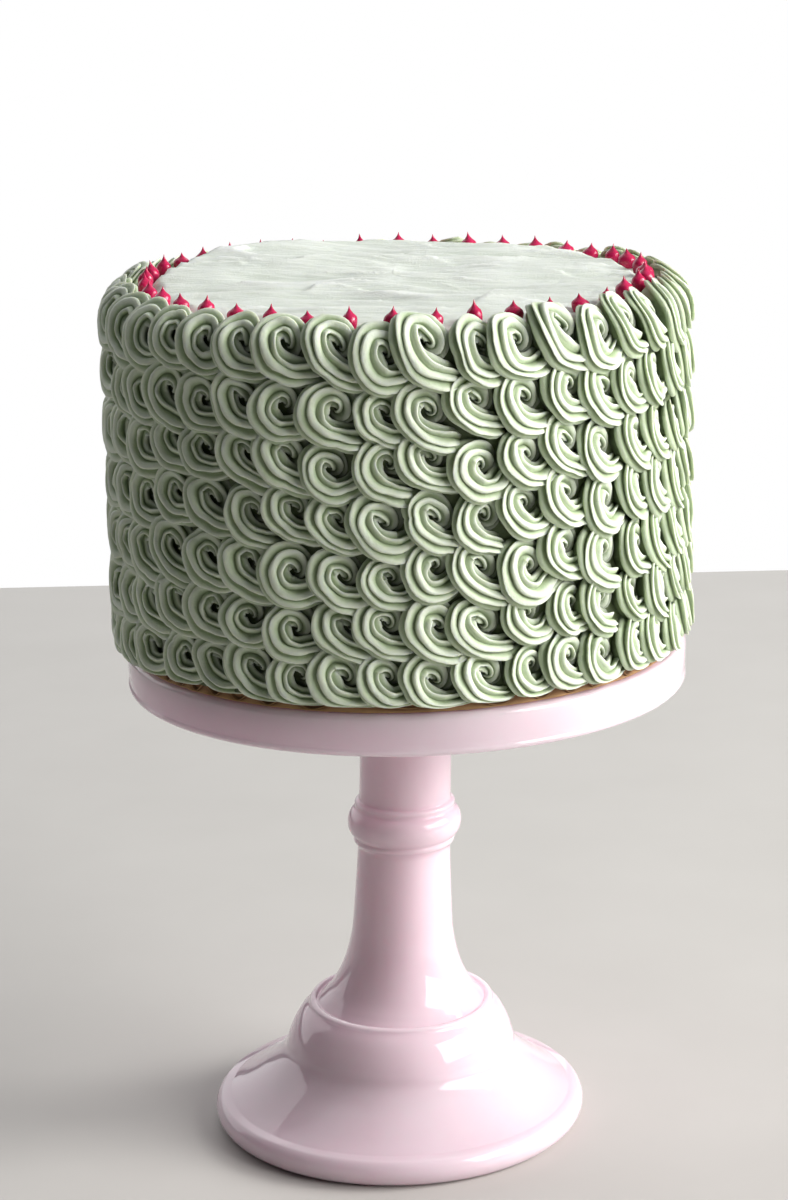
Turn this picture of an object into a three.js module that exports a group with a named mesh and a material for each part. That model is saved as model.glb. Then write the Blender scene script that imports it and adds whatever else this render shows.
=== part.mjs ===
// A tall iced cake on a pressed-glass pedestal stand, in millimetres, +Z up, the front towards -Y.
// The origin is on the table, under the middle of the cake. The stand is one piece of glass, turned from
// one outline; its plate sits a little to the right of its foot, so the stem leans. On the plate lies a
// round card, on the card the uncut cake, and on the cake's top edge a ring of small icing drops.
// The cake is one solid: smooth on top, with seven rows of piped swirls round its side. Each swirl is a
// cell of the side's surface, lifted off it by a coil that runs from the pit over the top and down the left.
import * as THREE from 'three';

// The stand: heights above the table, and radii.
const PLATE_RADIUS = 114.3;
const PLATE_TOP = 211.5;
const SKIRT_HEIGHT = 16.5;
const SKIRT_THICKNESS = 6.5;
const PLATE_THICKNESS = 7;
const EDGE_ROUND = 2.6;
const STEM_RADIUS = 19.3;
const STEM_WAIST = 19.0;
const STEM_FLARE = 14.4;
const NECK_FLARE = 8;
const RING_RADIUS = 23.7;
const RING_HEIGHT = 131.5;
const RING_HALF_HEIGHT = 9;
const STEP_RADIUS = 36.8;
const STEP_HEIGHT = 52.5;
const STEP_WIDTH = 1.4;
const BELL_RADIUS = 47;
const BELL_HEIGHT = 33;
const BELL_CURVE = 17;
const BELL_RISE = 21.3;
const BELL_END = 66.4;
const FOOT_RADIUS = 78.2;
const FOOT_ROUND = 6.5;
const FOOT_LAND = 8;
const FOOT_WALL = 8;
const HOLLOW_HEIGHT = 40;
const PLATE_X = 1.4;
const FOOT_X = -6.0;
const STAND_SIDES = 36;

// The card under the cake, and the gap that parts lying on each other keep.
const GAP = 0.3;
const CARD_RADIUS = 112;
const CARD_THICKNESS = 4.5;
const CARD_SIDES = 32;

// The cake: the surface in the valleys between the swirls, which the swirls stand out from.
const CAKE_TOP = 356;
const SIDE_RADIUS = 109;
const SHOULDER_RADIUS = 11;
const BOTTOM_FLARE = 3.8;
const FLARE_HEIGHT = 6;
const FRONT_SUNK = 1.5;
const BACK_SUNK = 3.6;
const TOP_RISE = 1.5;
const TOP_UNEVEN = 0.9;
const TOP_EDGE = 96.5;
const TOP_RING = 93.5;
const TOP_INNER_RING = 45;
const TOP_RAISED = 2.5;

// The spread top is thickest over a place at the left and back: how much, where, and how far round it.
const HEAP = 4;
const HEAP_X = -70;
const HEAP_Y = 62;
const HEAP_REACH = 48;

// The swirls: columns round the cake (the first one in degrees from the front), rows up it (the first
// one's middle as a length up the side), and how far the lowest places of a swirl stand out.
const COLUMNS = 40;
const ROWS = 7;
const FIRST_COLUMN = 3.5;
const FIRST_ROW = 8.8;
const ROW_HEIGHT = 20.75;
const SWIRL_DEPTH = 10.6;
const PIT_OUT = 2.4;
const CORNER_OUT = 1;
const VALLEY_OUT = 2.6;

// How far the swirls bulge over their neighbours, hang over the card and bite into the top's edge.
const BULGE_LEFT = 1.3;
const BULGE_DOWN = 1.5;
const HANG_RADIUS = 117;
const BOTTOM_HANG = 3;
const HANG_VARIES = 0.6;
const SCALLOP = 5;

// The coil of one swirl: where its rings start, in turns from the right; how far they reach, as shares
// of half the cell; and how far they stand out, as shares of the swirl's depth.
const COIL_START = 0.055;
const COIL_REACH = 0.92;
const COIL_REACH_START = 0.5;
const COIL_OUT_START = 0.45;
const COIL_RISE_START = 0.08;
const COIL_RISE = 0.65;
const GROOVE_START = 0.17;
const GROOVE_REACH = 0.45;
const GROOVE_OUT = 0.5;
const INNER_START = 0.02;
const INNER_REACH = 0.25;
const INNER_OUT = 0.82;
const PIT_ACROSS = 0.2;
const TOP_ROW_WIDTH = 0.93;
const TOP_ROW_DROOP = 0.3;

// How much the swirls differ in place, turn and depth.
const WANDER = 1.2;
const COLUMN_SHIFT = 3.2;
const TURN_VARIES = 0.2;
const PIT_VARIES = 0.06;
const DEPTH_VARIES = 0.07;

// The icing drops on the top edge.
const DROP_RING = 99.5;
const DROP_RADIUS = 3.3;
const DROP_HEIGHT = 8.6;
const DROP_LEAN = 1.1;
const DROP_SIDES = 6;
const DROP_WIDTH_VARIES = 0.12;
const DROP_HEIGHT_VARIES = 0.16;
const DROP_RING_VARIES = 0.5;

const CARD_BOTTOM = PLATE_TOP + GAP;
const CAKE_BOTTOM = CARD_BOTTOM + CARD_THICKNESS + GAP;
const STRAIGHT_HEIGHT = CAKE_TOP - SHOULDER_RADIUS - CAKE_BOTTOM;
const SHOULDER_LENGTH = SHOULDER_RADIUS * Math.PI / 2;
const COLUMN_ANGLE = 2 * Math.PI / COLUMNS;
const COLUMN_WIDTH = SIDE_RADIUS * COLUMN_ANGLE;
const FIRST_ANGLE = THREE.MathUtils.degToRad(FIRST_COLUMN);

// A repeatable uneven number between -1 and 1 for piece n, of the kind given.
function uneven(n, kind) {
  const wave = Math.sin(n * 12.9898 + kind * 78.233) * 43758.5453;
  return 2 * (wave - Math.floor(wave)) - 1;
}

function finish(colour, roughness) {
  return new THREE.MeshStandardMaterial({ color: colour, roughness, metalness: 0 });
}

// Points of an arc in the (radius, height) plane, angles in degrees, the first point left out.
function arc(cx, cy, rx, ry, from, to, steps) {
  const points = [];
  for (let i = 1; i <= steps; i++) {
    const a = THREE.MathUtils.degToRad(from + (to - from) * i / steps);
    points.push([cx + rx * Math.cos(a), cy + ry * Math.sin(a)]);
  }
  return points;
}

// Points of the foot's hollow slope, from its rounded rim up to the bell.
function footSlope(steps) {
  const startRadius = FOOT_RADIUS - FOOT_ROUND / 2;
  const startHeight = FOOT_ROUND * (1 + Math.sin(Math.PI / 3));
  const points = [];
  for (let i = 1; i < steps; i++) {
    const share = i / steps;
    points.push([
      startRadius + (BELL_RADIUS - startRadius) * share,
      startHeight + (BELL_HEIGHT - startHeight) * share ** 1.5,
    ]);
  }
  return points;
}

// Points of the stem above the step, where it draws in from the step's width to its waist.
function stemFlare(steps) {
  const width = STEP_RADIUS - STEP_WIDTH - STEM_WAIST;
  const points = [];
  for (let i = 0; i < steps; i++) {
    const above = FOOT_ROUND * 1.9 ** i;
    points.push([STEM_WAIST + width * Math.exp(-above / STEM_FLARE), STEP_HEIGHT + above]);
  }
  return points;
}

// The stand's outline, from the top of the hollow in the foot, out and up, to the middle of the plate.
function standOutline() {
  const land = FOOT_RADIUS - FOOT_ROUND;
  const skirtFoot = PLATE_TOP - SKIRT_HEIGHT;
  const underside = PLATE_TOP - PLATE_THICKNESS;
  const skirtInside = PLATE_RADIUS - SKIRT_THICKNESS;
  const ringRise = RING_RADIUS - STEM_RADIUS;
  return [
    [0, HOLLOW_HEIGHT],
    [STEP_RADIUS - FOOT_WALL, HOLLOW_HEIGHT - 3],
    [BELL_RADIUS - FOOT_WALL, BELL_HEIGHT - 6],
    [land - FOOT_LAND - 4, FOOT_WALL],
    [land - FOOT_LAND, 0],
    [land, 0],
    ...arc(land, FOOT_ROUND, FOOT_ROUND, FOOT_ROUND, -90, 60, 3),
    ...footSlope(3),
    [BELL_RADIUS, BELL_HEIGHT],
    ...arc(BELL_RADIUS - BELL_CURVE, BELL_HEIGHT, BELL_CURVE, BELL_RISE, 0, BELL_END, 3),
    [STEP_RADIUS - STEP_WIDTH, STEP_HEIGHT],
    ...stemFlare(4),
    [STEM_WAIST, RING_HEIGHT - RING_HALF_HEIGHT],
    ...arc(STEM_RADIUS, RING_HEIGHT, ringRise, RING_HALF_HEIGHT, -80, 80, 4),
    [STEM_RADIUS + 0.4, underside - NECK_FLARE],
    [STEM_RADIUS + NECK_FLARE, underside],
    [skirtInside - EDGE_ROUND, underside],
    [skirtInside, underside - EDGE_ROUND],
    [skirtInside, skirtFoot],
    [PLATE_RADIUS - 1, skirtFoot],
    [PLATE_RADIUS, skirtFoot + 1.4],
    [PLATE_RADIUS, PLATE_TOP - EDGE_ROUND],
    ...arc(PLATE_RADIUS - EDGE_ROUND, PLATE_TOP - EDGE_ROUND, EDGE_ROUND, EDGE_ROUND, 0, 90, 2),
    [0, PLATE_TOP],
  ];
}

// Turns the outline and shifts each level sideways, from the foot's place to the plate's.
function makeStand() {
  const outline = standOutline().map(([r, z]) => new THREE.Vector2(r, z));
  const geometry = new THREE.LatheGeometry(outline, STAND_SIDES);
  geometry.rotateX(Math.PI / 2);
  const skirtFoot = PLATE_TOP - SKIRT_HEIGHT;
  const shift = PLATE_X - FOOT_X;
  const position = geometry.attributes.position;
  for (let i = 0; i < position.count; i++) {
    const level = Math.min(1, position.getZ(i) / skirtFoot);
    position.setX(i, position.getX(i) + FOOT_X + shift * level);
  }
  const mesh = new THREE.Mesh(geometry, finish(0xe3cbd6, 0.12));
  mesh.name = 'stand';
  return mesh;
}

function makeCard() {
  const geometry = new THREE.CylinderGeometry(CARD_RADIUS, CARD_RADIUS, CARD_THICKNESS, CARD_SIDES);
  geometry.rotateX(Math.PI / 2);
  const mesh = new THREE.Mesh(geometry, finish(0x9a6d34, 0.7));
  mesh.name = 'cake_card';
  mesh.position.set(0, 0, CARD_BOTTOM + CARD_THICKNESS / 2);
  return mesh;
}

// A point of the cake's surface: angle from the front, length up the side and over the shoulder, and
// how far it stands out from the valleys.
function surfacePoint(angle, length, out) {
  let radius = SIDE_RADIUS;
  let height = CAKE_BOTTOM + length;
  let slope = 0;
  if (length < FLARE_HEIGHT) radius += BOTTOM_FLARE * (1 - length / FLARE_HEIGHT) ** 2;
  if (length > STRAIGHT_HEIGHT) {
    const past = length - STRAIGHT_HEIGHT;
    slope = Math.min(past, SHOULDER_LENGTH) / SHOULDER_RADIUS;
    radius -= SHOULDER_RADIUS * (1 - Math.cos(slope)) + Math.max(0, past - SHOULDER_LENGTH);
    height = CAKE_BOTTOM + STRAIGHT_HEIGHT + SHOULDER_RADIUS * Math.sin(slope);
  }
  return cakePoint(angle, radius + out * Math.cos(slope), height + out * Math.sin(slope));
}

// A point of the cake by angle, radius and height. The rim sinks a little at the front and at the back.
function cakePoint(angle, radius, height) {
  const y = -radius * Math.cos(angle);
  const share = (height - CAKE_BOTTOM) / (CAKE_TOP - CAKE_BOTTOM);
  const sunk = (y < 0 ? FRONT_SUNK : BACK_SUNK) * (y / DROP_RING) ** 2 * share;
  return new THREE.Vector3(radius * Math.sin(angle), y, height - sunk);
}

// Height of the spread top: a slight rise towards the back, the heap, and shallow waves left by the knife.
function spreadHeight(x, y) {
  const long = Math.sin(0.045 * x - 0.11 * y + 0.6);
  const short = Math.sin(0.09 * x + 0.05 * y + 2.1);
  const waves = TOP_UNEVEN * (0.7 * long + 0.3 * short);
  const away = Math.hypot(x - HEAP_X, y - HEAP_Y) / HEAP_REACH;
  return CAKE_TOP + TOP_RAISED + TOP_RISE * y / DROP_RING + waves + HEAP * Math.exp(-away * away);
}

// The cake as one closed surface, made of vertices shared between the cells.
class CakeSurface {
  constructor() {
    this.vertices = [];
    this.faces = [];
  }

  add(point) {
    this.vertices.push(point.x, point.y, point.z);
    return this.vertices.length / 3 - 1;
  }

  face(a, b, c) {
    this.faces.push(a, b, c);
  }

  // Joins a ring to the one inside it. Both run anticlockwise, as { vertex, turn } with turns below 1.
  stitch(outer, inner) {
    const turnOf = (ring, k) => ring[k % ring.length].turn + Math.floor(k / ring.length);
    const vertexOf = (ring, k) => ring[k % ring.length].vertex;
    let i = 0;
    let j = 0;
    while (i < outer.length || j < inner.length) {
      const outerIsNext = turnOf(outer, i + 1) <= turnOf(inner, j + 1);
      if (j >= inner.length || (i < outer.length && outerIsNext)) {
        this.face(vertexOf(outer, i), vertexOf(outer, i + 1), vertexOf(inner, j));
        i++;
      } else {
        this.face(vertexOf(outer, i), vertexOf(inner, j + 1), vertexOf(inner, j));
        j++;
      }
    }
  }

  fan(ring, middle) {
    ring.forEach(({ vertex }, i) => this.face(vertex, ring[(i + 1) % ring.length].vertex, middle));
  }

  geometry() {
    const geometry = new THREE.BufferGeometry();
    geometry.setAttribute('position', new THREE.Float32BufferAttribute(this.vertices, 3));
    geometry.setIndex(this.faces);
    geometry.computeVertexNormals();
    return geometry;
  }
}

// How far a column of swirls sits above or below its neighbours, least in the top and bottom rows.
function columnShift(column, row) {
  const left = uneven(Math.floor(column + COLUMNS) % COLUMNS, 12);
  const right = uneven(Math.ceil(column) % COLUMNS, 12);
  const middle = Math.sin(Math.PI * Math.min(1, Math.max(0, (row + 0.5) / ROWS)));
  return COLUMN_SHIFT * middle * (left + right) / 2;
}

// Angle and length of a place in the grid of cells, where whole numbers are the cells' middles.
function gridPlace(column, row, wander) {
  const n = Math.round(2 * (column % COLUMNS)) * 31 + Math.round(2 * row);
  const around = wander * uneven(n, 1) / SIDE_RADIUS;
  const along = columnShift(column, row) + wander * uneven(n, 2);
  return {
    angle: FIRST_ANGLE + COLUMN_ANGLE * column + around,
    length: FIRST_ROW + ROW_HEIGHT * row + along,
  };
}

// The vertices on the cells' borders. A cell bulges to the left and down over its neighbours, like a
// fish scale, so the middles of its sides are moved that way from the straight line between corners.
function makeBorders(surface) {
  const borders = new Map();
  for (let column = 0; column < COLUMNS; column += 0.5) {
    for (let row = -0.5; row <= ROWS - 0.5; row += 0.5) {
      const betweenColumns = column % 1 !== 0;
      const betweenRows = row % 1 !== 0;
      if (!betweenColumns && !betweenRows) continue;
      const atBottom = row < 0;
      const atTop = row > ROWS - 1;
      const place = gridPlace(column, row, atBottom || atTop ? 0 : WANDER);
      let point;
      if (atTop) {
        point = surfacePoint(place.angle, place.length + (betweenColumns ? -SCALLOP : 0.5), 0);
      } else if (atBottom && betweenColumns) {
        point = surfacePoint(place.angle, 0, 0);
      } else if (atBottom) {
        const hang = BOTTOM_HANG + HANG_VARIES * uneven(column, 3);
        point = cakePoint(place.angle, HANG_RADIUS, CAKE_BOTTOM - hang);
      } else if (betweenColumns && betweenRows) {
        point = surfacePoint(place.angle, place.length, CORNER_OUT);
      } else if (betweenColumns) {
        point = surfacePoint(place.angle - BULGE_LEFT / SIDE_RADIUS, place.length, VALLEY_OUT);
      } else {
        point = surfacePoint(place.angle, place.length - BULGE_DOWN, VALLEY_OUT);
      }
      borders.set(`${column},${row}`, surface.add(point));
    }
  }
  return (column, row) => borders.get(`${(column + COLUMNS) % COLUMNS},${row}`);
}

// One swirl: the outer coil inside the cell's border, a groove, the inner coil, and the pit.
function addSwirl(surface, border, column, row) {
  const n = column * ROWS + row;
  const place = gridPlace(column, row, WANDER);
  const depth = SWIRL_DEPTH * (1 + DEPTH_VARIES * uneven(n, 4));
  const topRow = row === ROWS - 1;
  const halfWidth = COLUMN_WIDTH / 2 * (topRow ? TOP_ROW_WIDTH : 1);
  const halfHeight = ROW_HEIGHT / 2;
  const pitAcross = halfWidth * (PIT_ACROSS + PIT_VARIES * uneven(n, 6));

  // A ring of vertices about a middle, from its first turn on. Reach and share go by fraction of it.
  const ring = (count, first, middle, reach, share) => {
    const vertices = [];
    for (let i = 0; i < count; i++) {
      const turn = first + i / count;
      const fraction = i / (count - 1);
      const direction = 2 * Math.PI * turn + TURN_VARIES * uneven(n, 5);
      const across = middle + halfWidth * reach(fraction) * Math.cos(direction);
      const up = halfHeight * reach(fraction) * Math.sin(direction);
      const droop = topRow && up > 0 ? 1 - TOP_ROW_DROOP * up / halfHeight : 1;
      const length = Math.max(0.5, place.length + up);
      const flare = BOTTOM_FLARE * Math.max(0, 1 - length / FLARE_HEIGHT) ** 2;
      const out = depth * share(fraction) * droop - flare;
      const point = surfacePoint(place.angle + across / SIDE_RADIUS, length, out);
      vertices.push({ vertex: surface.add(point), turn });
    }
    return vertices;
  };
  const coilReach = (t) => COIL_REACH_START
    + (COIL_REACH - COIL_REACH_START) * Math.sin(Math.PI / 2 * Math.min(1, 1.5 * t));
  const coilOut = (t) => COIL_OUT_START
    + (1 - COIL_OUT_START) * Math.sin(Math.PI * (COIL_RISE_START + COIL_RISE * t));

  const edge = [];
  for (let i = 0; i < 8; i++) {
    const across = Math.round(Math.cos(i * Math.PI / 4)) / 2;
    const up = Math.round(Math.sin(i * Math.PI / 4)) / 2;
    edge.push({ vertex: border(column + across, row + up), turn: i / 8 });
  }
  const outerCoil = ring(7, COIL_START, 0, coilReach, coilOut);
  const groove = ring(3, GROOVE_START, pitAcross / 2, () => GROOVE_REACH, () => GROOVE_OUT);
  const innerCoil = ring(3, INNER_START, pitAcross, () => INNER_REACH, () => INNER_OUT);
  const pitAngle = place.angle + pitAcross / SIDE_RADIUS;
  const pit = surface.add(surfacePoint(pitAngle, place.length, PIT_OUT));

  surface.stitch(edge, outerCoil);
  surface.stitch(outerCoil, groove);
  surface.stitch(groove, innerCoil);
  surface.fan(innerCoil, pit);
}

// The spread top: level with the drops at its scalloped edge, then a low step up, and on to the middle.
function addTop(surface, border) {
  let outer = [];
  for (let column = 0; column < COLUMNS; column += 0.5) {
    outer.push({ vertex: border(column, ROWS - 0.5), turn: column / COLUMNS });
  }
  const rings = [
    { count: COLUMNS, radius: TOP_EDGE, spread: false },
    { count: COLUMNS, radius: TOP_RING, spread: true },
    { count: COLUMNS / 4, radius: TOP_INNER_RING, spread: true },
  ];
  for (const { count, radius, spread } of rings) {
    const inner = [];
    for (let i = 0; i < count; i++) {
      const angle = FIRST_ANGLE + 2 * Math.PI * i / count;
      const point = cakePoint(angle, radius, CAKE_TOP);
      if (spread) point.z = spreadHeight(point.x, point.y);
      inner.push({ vertex: surface.add(point), turn: i / count });
    }
    surface.stitch(outer, inner);
    outer = inner;
  }
  surface.fan(outer, surface.add(new THREE.Vector3(0, 0, spreadHeight(0, 0))));
}

// The underside: flat on the card, and just outside it stepping down to the lowest swirls.
function addBottom(surface, border) {
  const rim = [];
  for (let column = 0; column < COLUMNS; column++) {
    const angle = FIRST_ANGLE + COLUMN_ANGLE * column;
    const inside = surface.add(cakePoint(angle, SIDE_RADIUS + BOTTOM_FLARE, CAKE_BOTTOM));
    const before = border(column - 0.5, -0.5);
    const after = border(column + 0.5, -0.5);
    const hanging = border(column, -0.5);
    surface.face(before, inside, hanging);
    surface.face(inside, after, hanging);
    rim.unshift({ vertex: inside });
    rim.unshift({ vertex: after });
  }
  surface.fan(rim, surface.add(new THREE.Vector3(0, 0, CAKE_BOTTOM)));
}

function makeCake() {
  const surface = new CakeSurface();
  const border = makeBorders(surface);
  for (let column = 0; column < COLUMNS; column++) {
    for (let row = 0; row < ROWS; row++) addSwirl(surface, border, column, row);
  }
  addTop(surface, border);
  addBottom(surface, border);
  const mesh = new THREE.Mesh(surface.geometry(), finish(0xb4c4a4, 0.45));
  mesh.name = 'cake';
  return mesh;
}

// The height at which a round foot of this radius, lowered at (x, y), would touch the solid.
function restingHeight(solid, x, y, radius) {
  const ray = new THREE.Raycaster();
  const down = new THREE.Vector3(0, 0, -1);
  let height = -Infinity;
  for (let i = 0; i <= 12; i++) {
    const reach = i === 12 ? 0 : radius;
    const angle = i * Math.PI / 6;
    ray.set(new THREE.Vector3(x + reach * Math.cos(angle), y + reach * Math.sin(angle), 2 * CAKE_TOP), down);
    const hit = ray.intersectObject(solid)[0];
    height = Math.max(height, hit.point.z);
  }
  return height;
}

// An icing drop: a round foot, a belly, and a drawn-out tip that leans a little.
function makeDrop(index, cake) {
  const radius = DROP_RADIUS * (1 + DROP_WIDTH_VARIES * uneven(index, 7));
  const height = DROP_HEIGHT * (1 + DROP_HEIGHT_VARIES * uneven(index, 8));
  const outline = [[0, 0], [0.8, 0], [1, 0.34], [0.42, 0.66], [0, 1]]
    .map(([r, z]) => new THREE.Vector2(r * radius, z * height));
  const geometry = new THREE.LatheGeometry(outline, DROP_SIDES);
  geometry.rotateX(Math.PI / 2);
  const position = geometry.attributes.position;
  for (let i = 0; i < position.count; i++) {
    const lean = DROP_LEAN * (position.getZ(i) / height) ** 2;
    position.setX(i, position.getX(i) + lean * uneven(index, 9));
    position.setY(i, position.getY(i) + lean * uneven(index, 10));
  }
  const angle = FIRST_ANGLE + COLUMN_ANGLE * (index + 0.5);
  const ring = DROP_RING + DROP_RING_VARIES * uneven(index, 11);
  const x = ring * Math.sin(angle);
  const y = -ring * Math.cos(angle);
  const mesh = new THREE.Mesh(geometry, finish(0xc2185b, 0.25));
  mesh.name = `drop_${String(index + 1).padStart(2, '0')}`;
  mesh.position.set(x, y, restingHeight(cake, x, y, radius) + GAP);
  return mesh;
}

const model = new THREE.Group();
const cake = makeCake();
model.add(makeStand(), makeCard(), cake);
for (let index = 0; index < COLUMNS; index++) model.add(makeDrop(index, cake));

export default model;
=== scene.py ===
# A tall iced cake on a pink pressed-glass pedestal stand, dressed over its CAD model.
# Sizes are in millimetres, which make_piece turns into metres. Only the studio's are in metres. The origin
# is on the table under the cake's middle and the front is towards -Y. Angles round the cake are measured
# from the front towards +X, as in the CAD model, so each piped swirl lies on its own cell of the CAD cake.
import math

import bpy
import numpy as np
from mathutils import Matrix, Vector, noise


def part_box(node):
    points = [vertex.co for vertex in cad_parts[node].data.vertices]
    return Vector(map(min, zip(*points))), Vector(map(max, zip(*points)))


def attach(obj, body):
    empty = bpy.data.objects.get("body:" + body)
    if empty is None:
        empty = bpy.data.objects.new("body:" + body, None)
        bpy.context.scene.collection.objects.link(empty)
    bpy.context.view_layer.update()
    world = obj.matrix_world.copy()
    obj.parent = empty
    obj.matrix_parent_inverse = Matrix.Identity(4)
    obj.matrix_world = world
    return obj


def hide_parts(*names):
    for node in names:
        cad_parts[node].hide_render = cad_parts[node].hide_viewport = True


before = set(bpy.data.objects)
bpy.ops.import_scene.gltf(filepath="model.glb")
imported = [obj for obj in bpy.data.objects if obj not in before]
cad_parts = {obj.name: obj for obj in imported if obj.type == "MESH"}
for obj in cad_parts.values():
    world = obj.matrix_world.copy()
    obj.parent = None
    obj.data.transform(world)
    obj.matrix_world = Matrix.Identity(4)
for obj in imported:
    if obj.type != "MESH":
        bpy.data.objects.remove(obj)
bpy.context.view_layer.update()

MM = 0.001


def node_box(node):
    """Lowest and highest corner of a CAD node, in millimetres."""
    low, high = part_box(node)
    return np.array(low) / MM, np.array(high) / MM


stand_high = node_box("stand")[1]
card_low, card_high = node_box("cake_card")
cake_high = node_box("cake")[1]

# The stand: radii, and heights above the table. Its axis leans from FOOT_X to PLATE_X.
STAND_SIDES = 128
PLATE_RADIUS = 114.3
PLATE_TOP = stand_high[2]
PLATE_THICKNESS = 7
SKIRT_HEIGHT = 16.5
SKIRT_THICKNESS = 6.5
SKIRT_ROUND_OUTSIDE = 1.5
SKIRT_ROUND_INSIDE = 1.2
EDGE_ROUND = 2.6
RING_RADIUS = 23.7
RING_HEIGHT = 131.5
RING_HALF_HEIGHT = 6.6
STEM_RADIUS = 19.0
FOOT_RADIUS = 78.2
FOOT_ROUND = 6.5
HOLLOW_HEIGHT = 40
PLATE_X = 1.4
FOOT_X = -6.0

# The stand's flowing stretches from the hollow in the foot upwards, each as radii and heights.
HOLLOW = [(14, 39.4), (28.8, 36.6), (39, 27), (59.7, 8), (63.0, 1.2)]
FOOT_LAND = [(64.2, 0.25), (66, 0), (69, 0)]
BELL = [(72.4, 12.1), (66.6, 15.6), (59.7, 20.6), (53.4, 25.9), (49.0, 31.2), (47.6, 36.0),
        (45.6, 41.6), (42.6, 47.0), (39.0, 51.0)]
STEM = [(35.2, 52.1), (32.4, 55.2), (29.0, 59.6), (25.6, 66.4), (23.1, 74.0), (21.2, 84),
        (20.3, 98), (19.6, 112), (19.3, 120.6)]
NECK = [(19.1, 141.6), (19.0, 156), (19.2, 176), (19.7, 192), (22.0, 199.5), (27.3, 204.0)]

# Its small beads: the radius and height of the bead's middle, then its own half width and half height.
STEP_BEAD = (37.2, 52.0, 1.5, 1.1)
LOW_BEAD = (19.6, 124.0, 1.5, 1.7)
HIGH_BEAD = (19.2, 139.6, 1.7, 1.5)

# The card: two liners with a wavy sheet between them.
CARD_SIDES = 720
CARD_INSET = 0.25
LINER = 0.45
LINER_ROUND = 0.12
FLUTE_LENGTH = 7.2
FLUTE_DEPTH = 1.6
FLUTE_LEAST = 0.3
SHEET_INSET = 0.15
SHEET_HALF = 0.2
SHEET_HOLLOW = 0.35
# Its ragged edge, as waves: size, number round the card, and shift.
RAGGED = ((0.12, 37, 0), (0.1, 91, 1))

# The cake: its body under the swirls. Lengths up the side run on over the shoulder and across the top.
GAP = 0.3
CAKE_BOTTOM = card_high[2] + GAP
CAKE_TOP = 356
CAKE_SIDES = 200
SIDE_RADIUS = 109
SHOULDER_RADIUS = 11
SHOULDER_LENGTH = SHOULDER_RADIUS * math.pi / 2
STRAIGHT_HEIGHT = CAKE_TOP - SHOULDER_RADIUS - CAKE_BOTTOM
BOTTOM_FLARE = 3.8
FLARE_HEIGHT = 6
UNDER_INSET = 1.0
FRONT_SUNK = 1.5
BACK_SUNK = 3.6
BED = 2.2
BED_FADES = 20
BED_ENDS = 6

# The spread top: its raised surface, its edge, the heap at the left back, and the marks of the knife.
TOP_RAISED = 2.5
TOP_RISE = 1.5
TOP_UNEVEN = 0.9
TOP_EDGE = 97.5
TOP_STEP = 4
TOP_DEPTH = 8
TOP_MESH = 1.5
PALE_EDGE = 108
PALE_STEP = 5
EDGE_LAPS = 1.6
HEAP = 4
HEAP_PLACE = (-70, 62)
HEAP_REACH = 48
# The knife's long waves: share of TOP_UNEVEN, radians to a millimetre along X and along Y, and shift.
TOP_WAVES = ((0.7, 0.045, -0.11, 0.6), (0.3, 0.09, 0.05, 2.1))
STROKE_SLANT = 0.16
STROKE_WANDER = 9
RIDGE_DEPTH = 0.9
FINE_DEPTH = 0.5
TORN_DEPTH = 2.4
TORN_SPACING = 17
TORN_WANDER = 1.3
TORN_SHARE = 0.25

# The swirls' places: columns round the cake and rows up its side, with the CAD model's shifts.
COLUMNS = 40
ROWS = 7
COLUMN_ANGLE = 2 * math.pi / COLUMNS
FIRST_COLUMN = math.radians(3.5)
FIRST_ROW = 8.8
ROW_HEIGHT = 20.75
WANDER = 1.2
WANDER_KINDS = (1, 2)
COLUMN_SHIFT = 3.2
COLUMN_SHIFT_KIND = 12
CELL_STRIDE = 31
TOP_ROW_DROOP = 0.3
TOP_ROW_BEND = 0.5
DROOP_HEIGHT = 12
HANG = 4.5
HANG_STARTS = 2
CARD_OVERHANG = 3.6
OVER_CARD = 0.3

# One swirl: a rope of icing from a star nozzle. It starts in the pit, winds once and a half round it, and
# leaves at the lower right. The measures of its middle line are given at the turns, in degrees.
STEPS = 46
START_SHARE = 0.22
COIL = {
    "turn": [-210, -150, -90, -40, 0, 45, 90, 135, 180, 225, 270, 298, 316, 326],
    "reach": [0.2, 0.6, 1.2, 2.0, 2.9, 4.1, 5.5, 7.0, 8.1, 8.5, 8.7, 9.8, 11.8, 14.2],
    "thick": [0.3, 1.9, 2.8, 3.6, 4.2, 4.7, 5.1, 5.4, 5.5, 5.5, 5.4, 5.3, 5.0, 3.4],
    "out": [-1.6, 0.0, 1.3, 2.4, 3.2, 3.7, 3.9, 4.0, 4.0, 4.0, 3.9, 3.8, 3.6, 3.0],
}
SWIRL_SIZE = 1.01
SWIRL_WIDTH = 0.94
SWIRL_HEIGHT = 1.06
PIT_RIGHT = 5.2
PIT_UP = 0.8
SLANT = 0.2
TILT_RIGHT = 0.3
TILT_UP = 0.14
OUTERMOST = 10.5
PRESSED = 1.6
TIPS = (-0.4, 0.6)

# The bulges along the rope: half waves in half a turn, size, and kind of the uneven number that shifts them.
KINKS = ((1, 1.0, 23), (1.5, 0.9, 33), (3.5, 0.5, 34))
KINK_SHIFT = 3.1
KINK_LEVEL = 1.5
KINKS_START = 20
KINKS_GROW = 120

# How much a measure varies from swirl to swirl: its kind of uneven number, and the largest change.
VARIES = {
    "size": (21, 0.08), "thick": (22, 0.07), "direction": (24, 28), "across": (25, 1.5), "up": (26, 1.7),
    "out": (27, 0.05), "roll": (28, 9), "drag": (29, 7), "sway": (32, 6), "slant": (35, 0.8),
}
TONE_KIND = 30

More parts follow.
